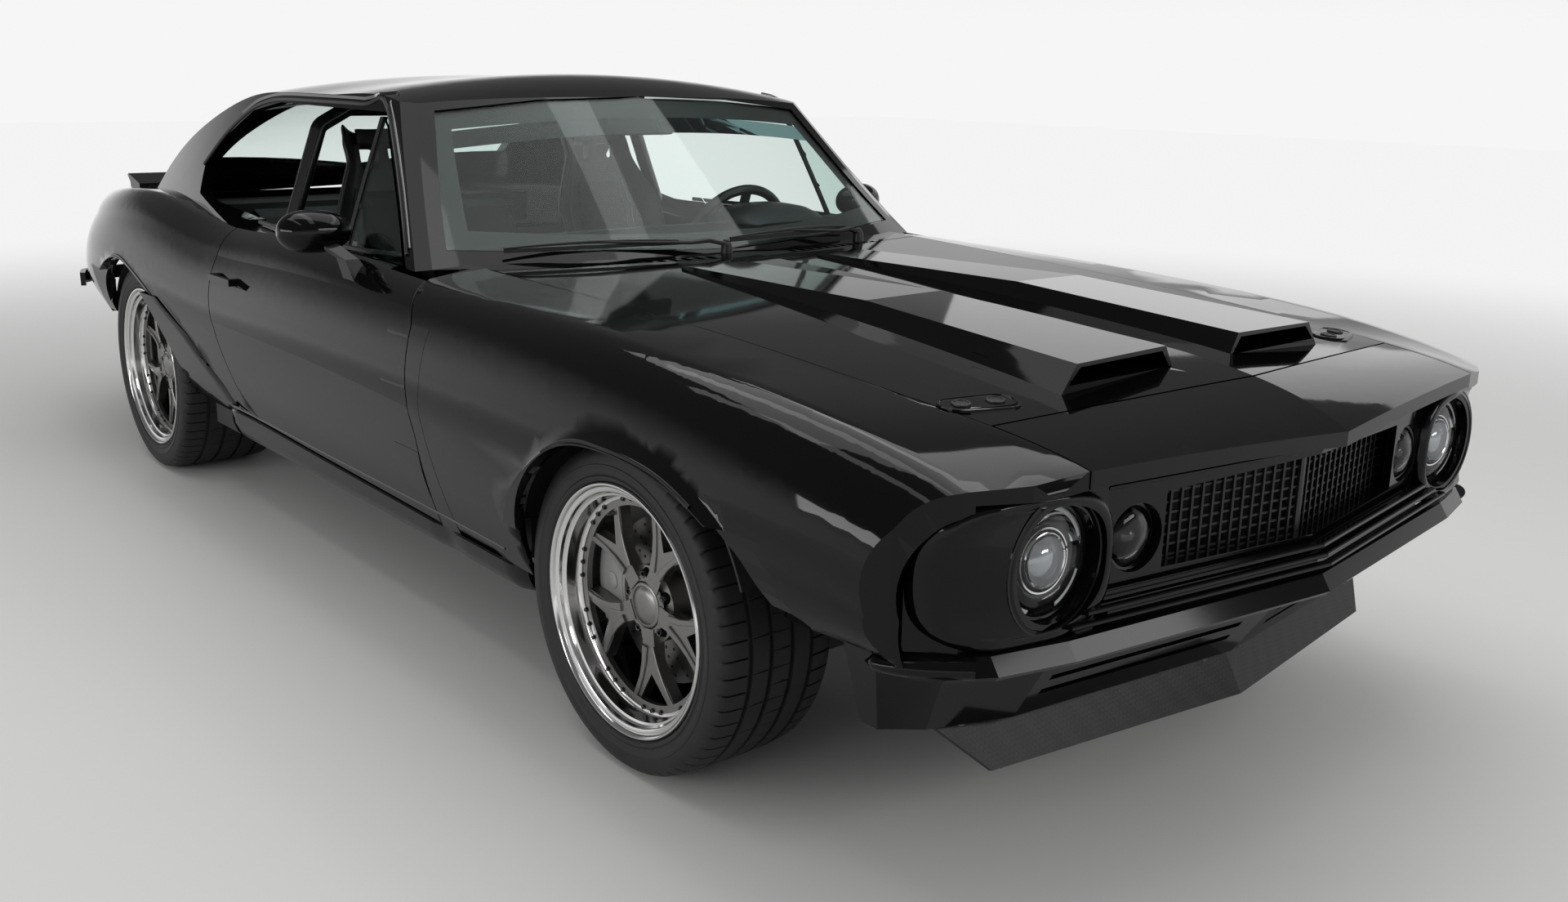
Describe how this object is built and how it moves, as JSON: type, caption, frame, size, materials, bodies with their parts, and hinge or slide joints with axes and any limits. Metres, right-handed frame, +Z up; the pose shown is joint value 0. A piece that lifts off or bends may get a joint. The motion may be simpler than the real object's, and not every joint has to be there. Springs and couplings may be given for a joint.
{
  "type": "muscle car",
  "caption": "Two-door hardtop muscle car with opening doors, hood and trunk lid, steered front wheels and a driving cabin behind a vented hood.",
  "frame": {"origin": "on the ground, midway between the front and rear ends, on the centre plane", "axes": "+Z up, +Y to the tail, +X to the car's left side"},
  "size_m": [1.9526, 4.7, 1.2975],
  "materials": {
    "gloss_black_paint": "deep gloss",
    "tyre_rubber": "satin",
    "wheel_metal": "brushed centre, polished lip",
    "window_glass": "clear, faint green",
    "black_trim": "semi gloss",
    "black_leather": "satin",
    "lamp_lens": "clear",
    "red_lens": "gloss",
    "carbon_weave": "clear coated weave",
    "chassis_black": "satin",
    "cast_metal": "cast",
    "brushed_tube": "brushed"
  },
  "bodies": {
    "root": {"chin_spoiler": "carbon_weave", "cowl_panel": "gloss_black_paint", "dashboard": "black_leather", "exhaust": "brushed_tube", "fenders": "gloss_black_paint", "firewall": "chassis_black", "floor_pan": "chassis_black", "front_bumper": "gloss_black_paint", "front_lamps": "lamp_lens", "front_seats": "black_leather", "front_valance": "black_trim", "fuel_tank": "brushed_tube", "grille": "black_trim", "header_panel": "gloss_black_paint", "inner_mirror": "black_trim", "nose_frame": "black_trim", "powertrain": "cast_metal", "quarters": "gloss_black_paint", "radiator": "cast_metal", "rear_axle": "chassis_black", "rear_bumper": "gloss_black_paint", "rear_seat": "black_leather", "rear_window": "window_glass", "roll_hoop": "chassis_black", "roof": "gloss_black_paint", "subframe": "chassis_black", "tail_lamps": "red_lens", "tail_panel": "gloss_black_paint", "trunk_floor": "chassis_black", "wheel_liners": "black_trim", "windscreen": "window_glass", "wipers": "black_trim"},
    "hood": {"hood": "gloss_black_paint"},
    "trunk_lid": {"trunk_lid": "gloss_black_paint"},
    "door_left": {"door_left": "gloss_black_paint", "mirror_left": "gloss_black_paint", "vent_glass_left": "window_glass"},
    "door_right": {"door_right": "gloss_black_paint", "mirror_right": "gloss_black_paint", "vent_glass_right": "window_glass"},
    "steering_wheel": {"steering_wheel": "black_leather"},
    "knuckle_left": {"knuckle_left": "chassis_black"},
    "knuckle_right": {"knuckle_right": "chassis_black"},
    "wheel_front_left": {"rim_front_left": "wheel_metal", "tyre_front_left": "tyre_rubber"},
    "wheel_front_right": {"rim_front_right": "wheel_metal", "tyre_front_right": "tyre_rubber"},
    "wheel_rear_left": {"rim_rear_left": "wheel_metal", "tyre_rear_left": "tyre_rubber"},
    "wheel_rear_right": {"rim_rear_right": "wheel_metal", "tyre_rear_right": "tyre_rubber"}
  },
  "joints": [
    {"name": "hood_hinge", "type": "hinge", "parent": "root", "child": "hood", "pos_m": [0, -0.643, 0.872], "axis": [-1, 0, 0], "range_deg": [0, 50]},
    {"name": "trunk_hinge", "type": "hinge", "parent": "root", "child": "trunk_lid", "pos_m": [0, 1.615, 0.903], "axis": [1, 0, 0], "range_deg": [0, 65]},
    {"name": "door_left_hinge", "type": "hinge", "parent": "root", "child": "door_left", "pos_m": [0.85, -0.585, 0.56], "axis": [0, 0, -1], "range_deg": [0, 60]},
    {"name": "door_right_hinge", "type": "hinge", "parent": "root", "child": "door_right", "pos_m": [-0.85, -0.585, 0.56], "axis": [0, 0, 1], "range_deg": [0, 60]},
    {"name": "steer_right", "type": "hinge", "parent": "root", "child": "knuckle_right", "pos_m": [-0.69, -1.4, 0.325], "axis": [0, 0, 1], "range_deg": [-25, 25]},
    {"name": "steer_left", "type": "hinge", "parent": "root", "child": "knuckle_left", "pos_m": [0.69, -1.4, 0.325], "axis": [0, 0, 1], "range_deg": [-25, 25]},
    {"name": "steering_wheel_turn", "type": "hinge", "parent": "root", "child": "steering_wheel", "pos_m": [0.37, -0.2, 0.815], "axis": [0, 0.9397, 0.342], "range_deg": [-350, 350]},
    {"name": "spin_front_left", "type": "hinge", "parent": "knuckle_left", "child": "wheel_front_left", "pos_m": [0.72, -1.4, 0.325], "axis": [1, 0, 0], "continuous": true},
    {"name": "spin_front_right", "type": "hinge", "parent": "knuckle_right", "child": "wheel_front_right", "pos_m": [-0.72, -1.4, 0.325], "axis": [1, 0, 0], "continuous": true},
    {"name": "spin_rear_left", "type": "hinge", "parent": "root", "child": "wheel_rear_left", "pos_m": [0.69, 1.343, 0.339], "axis": [1, 0, 0], "continuous": true},
    {"name": "spin_rear_right", "type": "hinge", "parent": "root", "child": "wheel_rear_right", "pos_m": [-0.69, 1.343, 0.339], "axis": [1, 0, 0], "continuous": true}
  ],
  "couplings": [
    {"joint": "steer_left", "follows": "steer_right", "ratio": 1},
    {"joint": "steering_wheel_turn", "follows": "steer_right", "ratio": -14}
  ]
}
